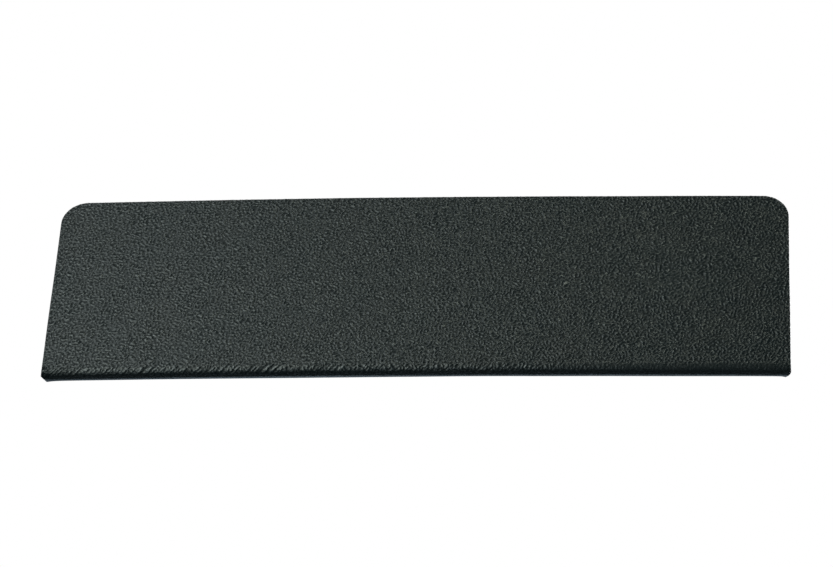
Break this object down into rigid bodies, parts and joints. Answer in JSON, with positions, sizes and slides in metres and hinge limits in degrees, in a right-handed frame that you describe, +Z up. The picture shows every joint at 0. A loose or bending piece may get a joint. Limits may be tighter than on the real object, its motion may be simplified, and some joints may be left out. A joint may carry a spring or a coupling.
{
  "type": "kick plate",
  "caption": "Low kick plate: a textured black plastic sheet with rounded upper corners and a short rearward lip along its lower edge, bonded by foam tape strips on its back.",
  "frame": {"origin": "bottom centre of the bounding box: middle of the width, middle of the depth from front face to the lip's free edge, underside of the lip", "axes": "+X along the width, +Y from the textured front face towards the door, +Z up"},
  "size_m": [0.3556, 0.0064, 0.1048],
  "materials": {
    "black_textured_plastic": "satin moulded leather grain, very dark green-grey black",
    "foam_tape": "off-white closed-cell foam with a tacky satin adhesive skin"
  },
  "bodies": {
    "root": {"formed_sheet": "black_textured_plastic", "tape_upper": "foam_tape", "tape_lower": "foam_tape", "tape_left": "foam_tape", "tape_right": "foam_tape"}
  },
  "joints": []
}
